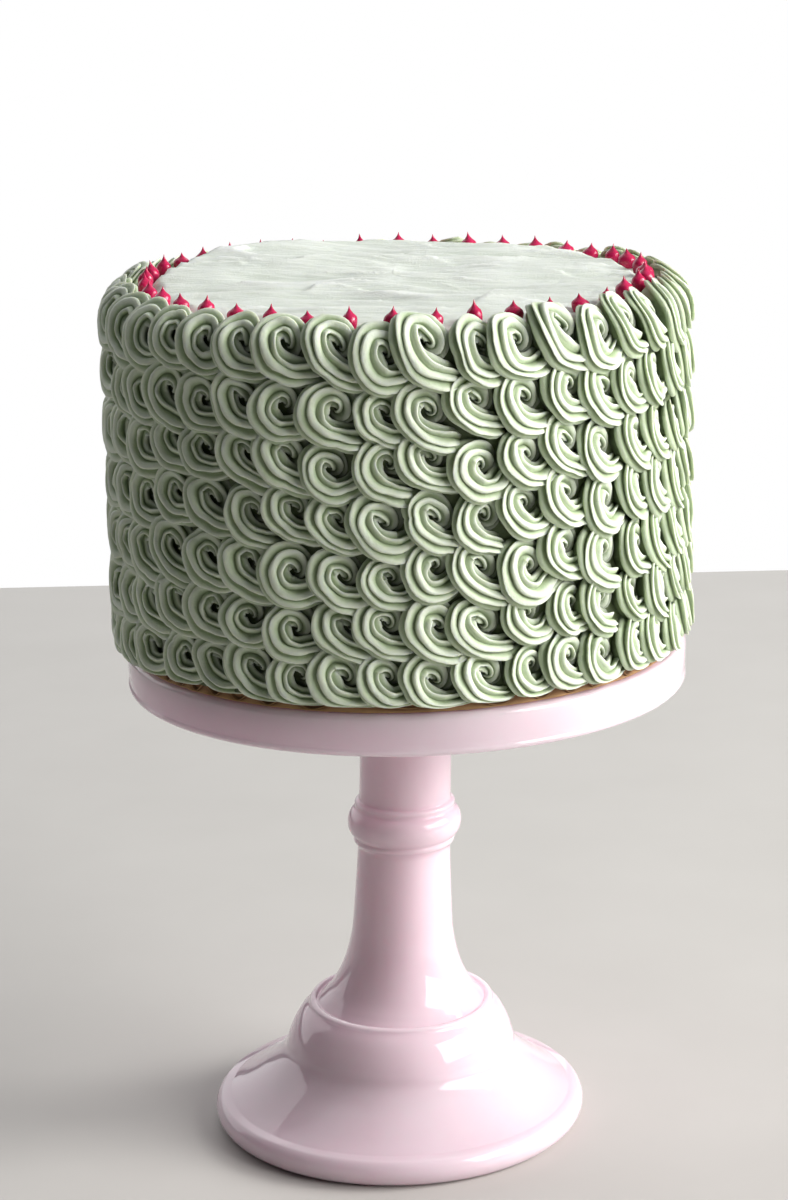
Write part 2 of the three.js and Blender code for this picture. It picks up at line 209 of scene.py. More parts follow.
# The rope's section, in degrees from its outer side over its top: the grooves, and one ridge between two.
GROOVES = [-6, 40, 75, 106, 142, 200]
UNDERSIDE = [250, 300]
UNDERSIDE_RIDGE = 9
RIDGE = {"part": [0, 0.1, 0.22, 0.36, 0.6, 0.82], "height": [0, 0.55, 0.95, 1, 0.7, 0.36]}
SQUARENESS = 0.72
OUTER_RIDGE = 0.7
GROOVE_RADIUS = 0.63
RIDGE_RADIUS = 0.46
SECTION_HEIGHT = 0.86
ROLL = 0.03
# The slow waves along each ridge: size, radians to a degree of turn, and shift from ridge to ridge.
RIDGE_WAVES = {"sway": (0.07, 0.035, 2.4), "drag": (0.15, 0.05, 2.1)}

# How far the icing is out in the light, from 0 to 1, which its colour takes as painted shade: where the rise
# of each measure starts, and its length.
# They are the distance out of the cake, the height on the rope's flanks in shares of its thickness, the turn
# out of the pit, and the height up the swirls of the top row.
LIGHT_RISES = {"out": (-0.5, 6.8), "flank": (-0.25, 0.7), "pit": (-60, 150), "open": (2, 5)}
FLANK_SHADE = 0.4
PIT_SHADE = 0.5

# The drops: an outline in shares of the radius and the height, and how deep a drop is set in the icing.
DROP_SIDES = 18
DROP_SET = 0.15
DROP_OUTLINE = [(0.0, -DROP_SET), (0.55, -0.14), (0.85, 0.05), (1.0, 0.27), (1.0, 0.44), (0.83, 0.58),
                (0.45, 0.70), (0.17, 0.83), (0.0, 1.0)]
DROP_WIDTH = 1.05
DROP_POINT = 0.02
DROP_TWIST = 0.06
DROP_TWIST_KIND = 31
DROP_LEAN = 1.0
DROP_LEAN_KINDS = (9, 10)
DROP_RING = 99.5

# The studio, in metres. Each light has its place, its target, its width and height, its watts and colour.
TABLE_REACH = 6
TABLE_END = 0.91
WORLD_LIGHT = 0.05
LIGHTS = {
    "window": ((2.2, 0.0, 1.15), (0, 0, 0.2), 0.8, 1.1, 52, (1.0, 0.985, 0.96)),
    "room": ((2.0, -0.95, 1.2), (0, 0, 0.2), 1.7, 1.4, 59, (1.0, 0.99, 0.97)),
    "white_wall": ((-0.9, 1.9, 1.1), (0, 0, 0.4), 4.0, 2.0, 32, (1.0, 1.0, 1.0)),
    "ceiling": ((0.2, 0.7, 2.1), (0.1, 0.2, 0.2), 3.4, 3.0, 13, (0.92, 0.94, 1.0)),
}
CAMERA_PLACE = (-0.0033, -1.2045, 0.5459)
CAMERA_PITCH = math.radians(14.87)
CAMERA_ROLL = math.radians(-1.3)
FRAME_ROWS = 1200
FOCAL_ROWS = 3044
SENSOR_HEIGHT = 36


def uneven(n, kind):
    """A repeatable uneven number between -1 and 1 for piece n, of the kind given."""
    wave = np.sin(n * 12.9898 + kind * 78.233) * 43758.5453
    return 2 * (wave - np.floor(wave)) - 1


def smooth(t):
    """An even rise from 0 to 1 as t goes from 0 to 1."""
    t = np.clip(t, 0, 1)
    return t * t * (3 - 2 * t)


def held_below(value, limit):
    """Eases the values near a limit, so that none passes it."""
    high = value - limit + PRESSED
    return np.where(high > 0, limit - PRESSED * np.exp(-high / PRESSED), value)


# Meshes

def make_piece(name, points, faces, material, nodes, values=None):
    """A smooth mesh piece from points in millimetres and faces of three or four corners."""
    mesh = bpy.data.meshes.new(name)
    corners = np.concatenate([np.asarray(f).ravel() for f in faces])
    sizes = np.concatenate([np.full(len(f), np.shape(f)[1]) for f in faces])
    starts = np.concatenate([[0], np.cumsum(sizes)[:-1]])
    mesh.vertices.add(len(points))
    mesh.vertices.foreach_set("co", (np.asarray(points) * MM).ravel())
    mesh.loops.add(len(corners))
    mesh.loops.foreach_set("vertex_index", corners.astype(np.int32))
    mesh.polygons.add(len(sizes))
    mesh.polygons.foreach_set("loop_start", starts.astype(np.int32))
    mesh.polygons.foreach_set("use_smooth", np.ones(len(sizes), bool))
    mesh.update(calc_edges=True)
    mesh.validate()
    for attribute, value in (values or {}).items():
        made = mesh.attributes.new(attribute, "FLOAT", "POINT")
        made.data.foreach_set("value", np.asarray(value, np.float32).ravel())
    mesh.materials.append(material)
    piece = bpy.data.objects.new(name, mesh)
    bpy.context.scene.collection.objects.link(piece)
    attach(piece, "root")
    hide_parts(*nodes)
    return piece


def even_turn(sides):
    """Angles evenly round a full turn."""
    return 2 * np.pi * np.arange(sides) / sides


def tube_faces(rings, sides):
    """Faces of a closed tube of rings of points, with its first and its last end point after the rings."""
    side = np.arange(sides)
    after = (side + 1) % sides
    ring = np.arange(rings - 1)[:, None] * sides
    a = ring + side
    b = ring + after
    wall = np.stack([a, b, b + sides, a + sides], -1).reshape(-1, 4)
    top = (rings - 1) * sides
    first_end = rings * sides
    first_fan = np.stack([after, side, np.full(sides, first_end)], -1)
    last_fan = np.stack([top + side, top + after, np.full(sides, first_end + 1)], -1)
    return [wall, first_fan, last_fan]


def lathe(outline, sides):
    """Points and faces of an outline turned about the axis, which it meets at both ends."""
    outline = np.asarray(outline, float)
    turn = even_turn(sides)
    inner = outline[1:-1]
    x = inner[:, :1] * np.sin(turn)
    y = -inner[:, :1] * np.cos(turn)
    z = np.repeat(inner[:, 1:], sides, 1)
    ends = [[0, 0, outline[0, 1]], [0, 0, outline[-1, 1]]]
    points = np.concatenate([np.stack([x, y, z], -1).reshape(-1, 3), ends])
    return points, tube_faces(len(inner), sides)


def arc(cx, cy, rx, ry, start, end, steps):
    """Points of an arc of an ellipse, by its middle, its two half widths and its ends in degrees."""
    a = np.radians(np.linspace(start, end, steps + 1))
    return [(cx + rx * math.cos(t), cy + ry * math.sin(t)) for t in a]


def flow(points, steps):
    """A smooth curve through points, by Catmull-Rom, each stretch in the same number of steps."""
    p = np.array(points, float)
    p = np.concatenate([2 * p[:1] - p[1:2], p, 2 * p[-1:] - p[-2:-1]])
    made = []
    for i in range(1, len(p) - 2):
        for t in np.arange(steps) / steps:
            made.append(0.5 * (2 * p[i] + (p[i + 1] - p[i - 1]) * t
                               + (2 * p[i - 1] - 5 * p[i] + 4 * p[i + 1] - p[i + 2]) * t * t
                               + (3 * p[i] - p[i - 1] - 3 * p[i + 1] + p[i + 2]) * t ** 3))
    made.append(p[-2])
    return [tuple(q) for q in made]


# Materials

class Shader:
    """A material's node tree, with short calls for the nodes that the pieces share."""

    def __init__(self, name):
        self.material = bpy.data.materials.new(name)
        self.material.use_nodes = True
        self.tree = self.material.node_tree
        self.bsdf = self.tree.nodes["Principled BSDF"]

    def set(self, **values):
        """Sets the shader's own sockets."""
        for name, value in values.items():
            self.bsdf.inputs[name.replace("_", " ")].default_value = value

    def node(self, kind, **settings):
        made = self.tree.nodes.new(kind)
        for name, value in settings.items():
            setattr(made, name, value)
        return made

    def link(self, source, target):
        self.tree.links.new(source, target)

    def place(self, scale):
        """Coordinates of the object in millimetres, times the scale."""
        coords = self.node("ShaderNodeTexCoord")
        mapping = self.node("ShaderNodeMapping")
        mapping.inputs["Scale"].default_value = [s / MM for s in scale]
        self.link(coords.outputs["Object"], mapping.inputs["Vector"])
        return mapping.outputs["Vector"]

    def noise(self, size, detail, scale=(1, 1, 1), roughness=0.5):
        """Noise with features of about the given size in millimetres."""
        made = self.node("ShaderNodeTexNoise")
        made.inputs["Scale"].default_value = 1 / size
        made.inputs["Detail"].default_value = detail
        made.inputs["Roughness"].default_value = roughness
        self.link(self.place(scale), made.inputs["Vector"])
        return made.outputs["Fac"]

    def attribute(self, name):
        return self.node("ShaderNodeAttribute", attribute_name=name).outputs["Fac"]

    def ramp(self, source, stops):
        """A colour for each value of the source, by stops of a value and its colour."""
        made = self.node("ShaderNodeValToRGB")
        elements = made.color_ramp.elements
        while len(elements) < len(stops):
            elements.new(0.5)
        for element, (at, colour) in zip(elements, stops):
            element.position = at
            element.color = (*colour, 1)
        self.link(source, made.inputs["Fac"])
        return made.outputs["Color"]

    def mix(self, share, a, b, blend="MIX"):
        """Colour a where the share is 0, and colour b where it is 1."""
        made = self.node("ShaderNodeMix", data_type="RGBA", blend_type=blend)
        for socket, value in ((made.inputs[0], share), (made.inputs[6], a), (made.inputs[7], b)):
            if isinstance(value, bpy.types.NodeSocket):
                self.link(value, socket)
            else:
                socket.default_value = (*value, 1) if isinstance(value, tuple) else value
        return made.outputs[2]

    def span(self, source, low, high):
        """Maps 0..1 to low..high."""
        made = self.node("ShaderNodeMapRange")
        made.inputs["To Min"].default_value = low
        made.inputs["To Max"].default_value = high
        self.link(source, made.inputs["Value"])
        return made.outputs["Result"]

    def surface(self, colour, roughness, bumps):
        """Links the colour, the roughness and the bumps, each a height source and its depth in mm."""
        self.link(colour, self.bsdf.inputs["Base Color"])
        self.link(roughness, self.bsdf.inputs["Roughness"])
        normal = None
        for source, depth in bumps:
            made = self.node("ShaderNodeBump")
            made.inputs["Strength"].default_value = 1
            made.inputs["Distance"].default_value = depth * MM
            self.link(source, made.inputs["Height"])
            if normal is not None:
                self.link(normal, made.inputs["Normal"])
            normal = made.outputs["Normal"]
        self.link(normal, self.bsdf.inputs["Normal"])


def icing_material():
    """Pale sage buttercream, palest on the ridges, with painted shade that darkens it down into the grooves
    and most of all deep between the swirls.
    """
    s = Shader("sage_icing")
    groove, slope = (0.15, 0.21, 0.085), (0.39, 0.495, 0.285)
    ridge, crest = (0.69, 0.765, 0.61), (0.81, 0.86, 0.75)
    clouded, hollow = (0.52, 0.62, 0.43), (0.016, 0.022, 0.008)
    # Painted shade: the colour darkens from the crests of the ridges down to the grooves, by the rope's
    # relief.
    colour = s.ramp(s.attribute("relief"), [(0.0, groove), (0.35, slope), (0.75, ridge), (1.0, crest)])
    colour = s.mix(s.span(s.noise(size=26, detail=2), 0.0, 0.35), colour, clouded)
    tone = s.span(s.attribute("tone"), 0.93, 1.05)
    shade = s.node("ShaderNodeCombineColor")
    for socket in shade.inputs:
        s.link(tone, socket)
    colour = s.mix(1.0, colour, shade.outputs[0], "MULTIPLY")
    # Painted shade: near black where the icing lies deep between the swirls, in the pits and low on the
    # rope's flanks.
    colour = s.mix(s.attribute("depth"), hollow, colour)
    grain = s.noise(size=1.6, detail=4, roughness=0.65)
    s.surface(colour, s.span(s.noise(size=5, detail=3), 0.38, 0.55),
              [(grain, 0.3), (s.noise(size=0.4, detail=2), 0.08)])
    s.set(Subsurface_Weight=0.4, Subsurface_Scale=0.0014, Subsurface_Radius=(1.0, 0.95, 0.6))
    s.set(Specular_IOR_Level=0.42)
    return s.material


def top_material():
    """The spread top: whiter, with fine drag lines of the palette knife, painted shade in the dips of the
    knife marks and painted light on their raised parts, and dark outside its edge: the sage side, darkened
    with painted shade for the gaps between the swirls.
    """
    s = Shader("spread_icing")
    low, level, high = (0.50, 0.57, 0.46), (0.70, 0.755, 0.67), (0.90, 0.93, 0.88)
    clouded, hollow = (0.80, 0.845, 0.78), (0.13, 0.17, 0.08)
    # Painted shade and light: darker in the dips of the knife marks, paler on their raised parts.
    colour = s.ramp(s.attribute("relief"), [(0.0, low), (0.45, level), (1.0, high)])
    colour = s.mix(s.span(s.noise(size=30, detail=2), 0.0, 0.5), colour, clouded)
    # Outside the top's edge the sage side of the cake, darkened with painted shade for the deep gaps between
    # the swirls.
    colour = s.mix(s.attribute("top"), hollow, colour)
    drag = s.noise(size=2.2, detail=4, scale=(0.22, 1, 1), roughness=0.6)
    s.surface(colour, s.span(s.noise(size=8, detail=3), 0.36, 0.6),
              [(drag, 0.8), (s.noise(size=0.7, detail=3), 0.25)])
    s.set(Subsurface_Weight=0.35, Subsurface_Scale=0.002, Subsurface_Radius=(1.0, 0.97, 0.75))
    s.set(Specular_IOR_Level=0.4)
    return s.material


def drop_material():
    """Raspberry icing: deep pink and glossy."""
    s = Shader("raspberry_icing")
    colour = s.mix(s.span(s.noise(size=2.5, detail=3), 0, 1), (0.42, 0.006, 0.055), (0.62, 0.02, 0.115))
    s.surface(colour, s.span(s.noise(size=2, detail=2), 0.16, 0.34), [(s.noise(size=1.0, detail=3), 0.10)])
    s.set(Subsurface_Weight=0.25, Subsurface_Scale=0.0012, Subsurface_Radius=(1.0, 0.25, 0.3))
    return s.material


def card_material():
    """Kraft board: golden liners, and between them at the edge flutes darkened with painted shade in their
    open ends.
    """
    s = Shader("kraft_card")
    flute, sheet, liner = (0.10, 0.045, 0.018), (0.32, 0.16, 0.065), (0.55, 0.33, 0.15)
    fibres = s.noise(size=1.4, detail=4, scale=(0.25, 1, 2.0), roughness=0.65)
    # Painted shade: near black in the flutes' open ends between the sheet and the liners.
    colour = s.ramp(s.attribute("relief"), [(0.0, flute), (0.6, sheet), (1.0, liner)])
    colour = s.mix(s.span(fibres, 0, 0.6), colour, (0.24, 0.12, 0.05))
    s.surface(colour, s.span(fibres, 0.6, 0.85), [(fibres, 0.12)])
    return s.material


def glass_material():
    """Opaque pink milk glass: glossy, faintly clouded, with soft waves left by pressing."""
    s = Shader("pink_milk_glass")
    cloud = s.noise(size=34, detail=3, scale=(1, 1, 0.5))
    colour = s.mix(cloud, (0.77, 0.59, 0.665), (0.82, 0.67, 0.74))
    waves = s.noise(size=16, detail=2, scale=(1, 1, 0.6))
    s.surface(colour, s.span(s.noise(size=12, detail=2), 0.05, 0.09), [(waves, 0.12)])
    s.set(Subsurface_Weight=0.6, Subsurface_Scale=0.018, Subsurface_Radius=(1.0, 0.75, 0.85), IOR=1.52)
    return s.material


# The stand

def stand_outline():
    """From the top of the hollow in the foot, out and up, to the middle of the plate."""
    skirt_foot = PLATE_TOP - SKIRT_HEIGHT
    skirt_inside = PLATE_RADIUS - SKIRT_THICKNESS
    underside = PLATE_TOP - PLATE_THICKNESS
    corner = skirt_inside - EDGE_ROUND
    inner, outer = SKIRT_ROUND_INSIDE, SKIRT_ROUND_OUTSIDE
    return [
        (0, HOLLOW_HEIGHT),
        *flow(HOLLOW, 8),
        *FOOT_LAND,
        *arc(FOOT_RADIUS - FOOT_ROUND, FOOT_ROUND, FOOT_ROUND, FOOT_ROUND, -88, 56, 16),
        *flow(BELL, 7),
        *arc(*STEP_BEAD, -10, 150, 7),
        *flow(STEM, 7),
        *arc(*LOW_BEAD, -70, 40, 6),
        *arc(STEM_RADIUS, RING_HEIGHT, RING_RADIUS - STEM_RADIUS, RING_HALF_HEIGHT, -58, 66, 18),
        *arc(*HIGH_BEAD, -30, 85, 6),
        *flow(NECK, 7),
        (34, underside),
        (70, underside),
        (corner, underside),
        *arc(corner, underside - EDGE_ROUND, EDGE_ROUND, EDGE_ROUND, 80, 5, 4),
        (skirt_inside, skirt_foot + 1.4),
        *arc(skirt_inside + inner, skirt_foot + inner, inner, inner, 190, 270, 4),
        *arc(PLATE_RADIUS - outer, skirt_foot + outer, outer, outer, -90, 40, 6),
        (PLATE_RADIUS - 0.5, skirt_foot + 2.9),
        (PLATE_RADIUS - 0.2, skirt_foot + 5.0),
        *arc(PLATE_RADIUS - EDGE_ROUND, PLATE_TOP - EDGE_ROUND, EDGE_ROUND, EDGE_ROUND, 5, 90, 10),
        (106, PLATE_TOP),
        (60, PLATE_TOP),
        (0, PLATE_TOP),
    ]


def axis_x(height):
    """Where the leaning stand's axis is at a height. From the skirt up it is the plate's."""
    level = np.minimum(1, height / (PLATE_TOP - SKIRT_HEIGHT))
    return FOOT_X + (PLATE_X - FOOT_X) * level


def make_stand():
    """The pressed-glass stand, in one piece."""
    points, faces = lathe(stand_outline(), STAND_SIDES)
    points[:, 0] += axis_x(points[:, 2])
    return make_piece("glass_stand", points, faces, glass_material(), ["stand"])


# The card

def make_card():
    """Corrugated board: two liners, and between them flutes that run along X and are open at their ends."""
    low, high = card_low[2], card_high[2]
    radius = card_high[0]
    turn = even_turn(CARD_SIDES)
    wave = 0.5 + 0.5 * np.sin(radius * np.cos(turn) * 2 * np.pi / FLUTE_LENGTH)
    sheet = low + LINER + (high - low - 2 * LINER) * wave
    hollow = FLUTE_DEPTH * np.abs(np.sin(turn)) ** 0.5 + FLUTE_LEAST
    ragged = sum(size * np.sin(count * turn + shift) for size, count, shift in RAGGED)
    # The rings from the bottom up: height, how far the ring lies inside the edge, and its paleness, which is
    # 0 where painted shade fills the flutes' open ends.
    rings = [
        (low, LINER_ROUND, 1),
        (low + 0.05, 0, 1),
        (low + LINER, 0, 1),
        (np.maximum(low + LINER + 0.02, sheet - SHEET_HOLLOW), hollow, 0),
        (sheet - SHEET_HALF, SHEET_INSET, 0.75),
        (sheet + SHEET_HALF, SHEET_INSET, 0.75),
        (np.minimum(high - LINER - 0.02, sheet + SHEET_HOLLOW), hollow, 0),
        (high - LINER, 0, 1),
        (high - 0.05, 0, 1),
        (high, LINER_ROUND, 1),
    ]
    points, relief = [], []
    for height, inset, paleness in rings:
        r = radius - CARD_INSET - inset + ragged
        points.append(np.stack([r * np.sin(turn), -r * np.cos(turn), height + 0 * turn], -1))
        relief.append(np.full(CARD_SIDES, paleness))
    points = np.concatenate([*points, [[0, 0, low]], [[0, 0, high]]])
    values = {"relief": np.concatenate([*relief, [1, 1]])}
    faces = tube_faces(len(rings), CARD_SIDES)
    return make_piece("kraft_card", points, faces, card_material(), ["cake_card"], values)


# The cake

def cake_point(angle, radius, height):
    """A point of the cake by angle, radius and height; the rim sinks at the front and at the back."""
    y = -radius * np.cos(angle)
    share = (height - CAKE_BOTTOM) / (CAKE_TOP - CAKE_BOTTOM)
    sunk = np.where(y < 0, FRONT_SUNK, BACK_SUNK) * (y / DROP_RING) ** 2 * share
    return np.stack([radius * np.sin(angle), y, height - sunk], -1)


def flare(length):
    """How far the side spreads at its bottom, by length up the side."""
    return BOTTOM_FLARE * np.clip(1 - length / FLARE_HEIGHT, 0, 1) ** 2


def surface_point(angle, length, out, bend=1):
    """A point by angle, length up the side and over the shoulder, and distance out of the surface.
    With a bend below 1 the shoulder curves less and ends on a slope."""
    past = np.maximum(0, length - STRAIGHT_HEIGHT)
    slope = bend * np.minimum(past, SHOULDER_LENGTH) / SHOULDER_RADIUS
    inward = SHOULDER_RADIUS * (1 - np.cos(slope)) / bend + np.maximum(0, past - SHOULDER_LENGTH)
    radius = SIDE_RADIUS + flare(length) - inward
    height = CAKE_BOTTOM + np.minimum(length, STRAIGHT_HEIGHT) + SHOULDER_RADIUS * np.sin(slope) / bend
    return cake_point(angle, radius + out * np.cos(slope), height + out * np.sin(slope))


def spread_height(x, y):
    """Height of the spread top: a slight rise towards the back, the heap, and waves left by the knife."""
    waves = sum(share * np.sin(by_x * x + by_y * y + shift) for share, by_x, by_y, shift in TOP_WAVES)
    away = np.hypot(x - HEAP_PLACE[0], y - HEAP_PLACE[1]) / HEAP_REACH
    rise = TOP_RISE * y / DROP_RING
    return CAKE_TOP + TOP_RAISED + rise + TOP_UNEVEN * waves + HEAP * np.exp(-away ** 2)


def clouds(x, y, long, wide, layer):
    """Soft noise at one point, with features of a length along x and a width along y, in millimetres."""
    return noise.noise(Vector((x / long, y / wide, layer)))


def edge_laps(x, y):
    """How far the spread top laps over its edge from place to place, between about -1 and 1."""
    return 2 * np.array([clouds(px, py, 14, 14, 21) for px, py in zip(x, y)])


def strokes(x, y):
    """Finer marks of the palette knife: long shallow ridges and a few torn lips, in millimetres."""
    made = np.zeros(len(x))
    for i, (px, py) in enumerate(zip(x, y)):
        sweep = py + STROKE_SLANT * px + STROKE_WANDER * clouds(px, py, 55, 55, 3)
        ridge = clouds(px, sweep, 60, 9, 0)
        fine = clouds(px, sweep, 16, 2.4, 5)
        step = (sweep / TORN_SPACING + TORN_WANDER * clouds(px, py, 30, 30, 7)) % 1
        torn = max(0.0, clouds(px, py, 26, 26, 12) + TORN_SHARE)
        made[i] = RIDGE_DEPTH * ridge + FINE_DEPTH * fine + TORN_DEPTH * torn * step ** 3
    return made


def make_core():
    """The body of the cake under the swirls, and the spread top."""
    turn = even_turn(CAKE_SIDES)
    over = STRAIGHT_HEIGHT + SHOULDER_LENGTH
    middle = over + SIDE_RADIUS - SHOULDER_RADIUS - 0.5
    lengths = [0, 1, 2, 4, 6, *np.arange(12, STRAIGHT_HEIGHT, 12), *np.linspace(STRAIGHT_HEIGHT, over, 7),
               *np.arange(over + 1.1, middle, TOP_MESH)]
    rings = [cake_point(turn, np.full(CAKE_SIDES, SIDE_RADIUS + BOTTOM_FLARE - UNDER_INSET), CAKE_BOTTOM)]
    for length in lengths:
        bed = BED * smooth((over + BED_ENDS - length) / BED_FADES)
        rings.append(surface_point(turn, np.full(CAKE_SIDES, float(length)), bed))
    points = np.concatenate(rings)

    x, y = points[:, 0], points[:, 1]
    away = np.hypot(x, y)
    on_top = points[:, 2] > CAKE_TOP - TOP_DEPTH
    marks = strokes(x, y)
    spread = on_top * smooth((TOP_EDGE + EDGE_LAPS * edge_laps(x, y) - away) / TOP_STEP)
    points[:, 2] += spread * (spread_height(x, y) + marks - points[:, 2])
    # Below the pale edge the colour turns to the sage side, with painted shade for the gaps between the
    # swirls.
    pale = on_top * smooth((PALE_EDGE - away) / PALE_STEP)

    points = np.concatenate([points, [[0, 0, CAKE_BOTTOM]], [[0, 0, spread_height(0, 0)]]])
    # The relief paints shade into the dips of the knife marks and light onto their raised parts.
    values = {
        "relief": np.concatenate([np.clip(0.45 + 0.4 * marks, 0, 1), [0, 0.5]]),
        "top": np.concatenate([pale, [0, 1]]),
    }
    faces = tube_faces(len(rings), CAKE_SIDES)
    return make_piece("spread_top", points, faces, top_material(), ["cake"], values)


# The swirls

def vary(n, measure):
    """The change of a measure for each swirl n, as a column."""
    kind, most = VARIES[measure]
    return (most * uneven(n, kind))[:, None]


def along_coil(turn, measure):
    """A smooth run of one of the coil's measures along its turn."""
    keys = np.array(COIL["turn"], float)
    values = np.array(COIL[measure], float)
    slopes = np.gradient(values, keys)
    i = np.clip(np.searchsorted(keys, turn, "right") - 1, 0, len(keys) - 2)
    width = keys[i + 1] - keys[i]
    t = (turn - keys[i]) / width
    return ((1 + 2 * t) * (1 - t) ** 2 * values[i] + t * (1 - t) ** 2 * width * slopes[i]
            + t * t * (3 - 2 * t) * values[i + 1] + t * t * (t - 1) * width * slopes[i + 1])


def coil_turns():
    """The turn at each step along the rope, with fewer steps to a turn in the pit."""
    keys = COIL["turn"]
    return np.interp(np.linspace(0, 1, STEPS), [0, START_SHARE, 1], [keys[0], 0, keys[-1]])


def coil_kinks(turn, n):
    """How much the rope of each swirl bulges along its way, more and more from the pit on."""
    kinks = sum(size * np.abs(np.sin(waves * np.radians(turn) + KINK_SHIFT * uneven(n, kind)[:, None]))
                for waves, size, kind in KINKS)
    return (kinks - KINK_LEVEL) * smooth((turn - KINKS_START) / KINKS_GROW)


def rope_frames(middle, direction):
    """Unit vectors along the rope, outward from the pit in the swirl's tilted plane, and over the rope."""
    along = np.gradient(middle, axis=1)
    along /= np.linalg.norm(along, axis=-1, keepdims=True)
    rise = -TILT_RIGHT * np.cos(direction) - TILT_UP * np.sin(direction)
    outward = np.stack([np.cos(direction), np.sin(direction), rise], -1)
    outward -= along * np.sum(outward * along, -1, keepdims=True)
    outward /= np.linalg.norm(outward, axis=-1, keepdims=True)
    return along, outward, np.cross(outward, along)


def rope_section():
    """Angles round the rope's section, the ridge each lies on, and its height from groove to crest."""
    angles, ridges, heights = [], [], []
    for ridge, (low, high) in enumerate(zip(GROOVES, GROOVES[1:])):
        angles += [low + (high - low) * part for part in RIDGE["part"]]
        ridges += [ridge] * len(RIDGE["part"])
        heights += [height * (1 if ridge else OUTER_RIDGE) for height in RIDGE["height"]]
    hidden = len(UNDERSIDE)
    return (np.radians(angles + UNDERSIDE), np.array(ridges + [UNDERSIDE_RIDGE] * hidden, float),
            np.array(heights + [0.5] * hidden))


def squared(share):
    """A sine or cosine for a section between round and square."""
    return np.sign(share) * np.abs(share) ** SQUARENESS


def ridge_wave(n, turn, ridges, measure):
    """The wave of a measure along each ridge of each swirl's rope."""
    size, along, shift = RIDGE_WAVES[measure]
    return size * np.sin(along * turn[..., None] + shift * ridges + vary(n, measure)[..., None])


def rope_offsets(n, turn, thick, section):
    """How far each point of the rope lies outward of its middle line, and how far over it.
    The ridges of the section turn slowly round the rope, and each sways and swells in its own way."""
    angles, ridges, height = section
    around = angles + ridge_wave(n, turn, ridges, "sway")
    swell = 1 + ridge_wave(n, turn, ridges, "drag")
    radius = thick[..., None] * (GROOVE_RADIUS + RIDGE_RADIUS * height * swell)
    wide = radius * squared(np.cos(around))
    tall = SECTION_HEIGHT * radius * squared(np.sin(around))
    roll = np.radians(ROLL * (turn - 180) + vary(n, "roll"))[..., None]
    return wide * np.cos(roll) - tall * np.sin(roll), wide * np.sin(roll) + tall * np.cos(roll)


def row_places(row):
    """Angle and length up the side of each swirl of a row, numbered and shifted as the CAD cake's cells."""
    column = np.arange(COLUMNS)
    cell = 2 * column * CELL_STRIDE + 2 * row
    around, along = (WANDER * uneven(cell, kind) for kind in WANDER_KINDS)
    angle = FIRST_COLUMN + COLUMN_ANGLE * column + around / SIDE_RADIUS
    shift = COLUMN_SHIFT * math.sin(math.pi * (row + 0.5) / ROWS) * uneven(column, COLUMN_SHIFT_KIND)
    return angle, FIRST_ROW + ROW_HEIGHT * row + shift + along


def laid_on_cake(local, row):
    """Lays the points of a row's swirls, each in its swirl's own frame, on the cake."""
    angle, length = row_places(row)
    # The lowest swirls sag no lower than the card's edge, which they hang over.
    up_side = length[:, None] + local[..., 1]
    sag = 1 - np.exp((up_side - HANG_STARTS) / HANG)
    up_side = np.where(up_side < HANG_STARTS, HANG_STARTS - HANG * sag, up_side)
    out = np.where(up_side < OVER_CARD, np.maximum(local[..., 2], CARD_OVERHANG), local[..., 2])
    around = angle[:, None] + local[..., 0] / SIDE_RADIUS
    bend = TOP_ROW_BEND if row == ROWS - 1 else 1
    placed = surface_point(around, up_side, out - flare(up_side), bend)
    placed[..., 2] = held_below(placed[..., 2], cake_high[2])
    return placed


def light_rise(value, measure):
    """How much of the light a value of a measure has."""
    start, length = LIGHT_RISES[measure]
    return smooth((value - start) / length)


